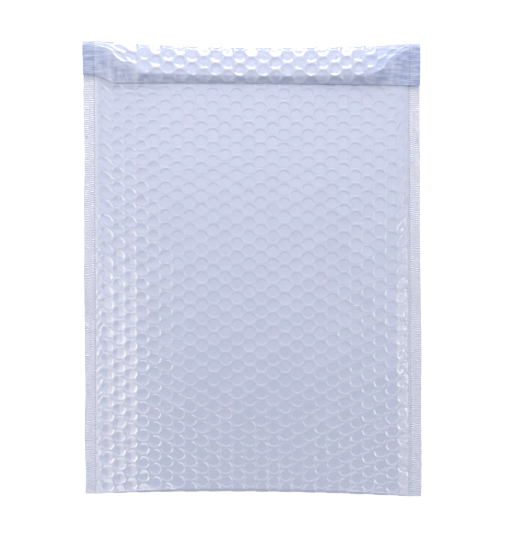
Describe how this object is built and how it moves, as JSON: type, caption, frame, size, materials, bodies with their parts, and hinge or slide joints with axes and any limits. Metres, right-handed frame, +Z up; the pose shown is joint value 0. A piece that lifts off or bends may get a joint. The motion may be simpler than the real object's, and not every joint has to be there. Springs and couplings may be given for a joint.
{
  "type": "padded envelope",
  "caption": "Padded mailing envelope of pearlescent film over air bubbles, lying flat, with welded sides and its flap folded shut.",
  "frame": {"origin": "under the middle of the envelope's outline, on the surface that it lies on", "axes": "+X across the envelope to the right, +Y along it towards the folded flap, +Z up from its back to its front"},
  "size_m": [0.29, 0.39, 0.0123],
  "materials": {
    "film": "pearlescent, pale lilac, softly glossy film over air bubbles",
    "adhesive": "clear hot-melt adhesive, smooth and tacky",
    "liner": "silicone-coated release paper, satin"
  },
  "bodies": {
    "root": {"envelope": "film", "adhesive_strip": "adhesive", "release_liner": "liner"}
  },
  "joints": []
}
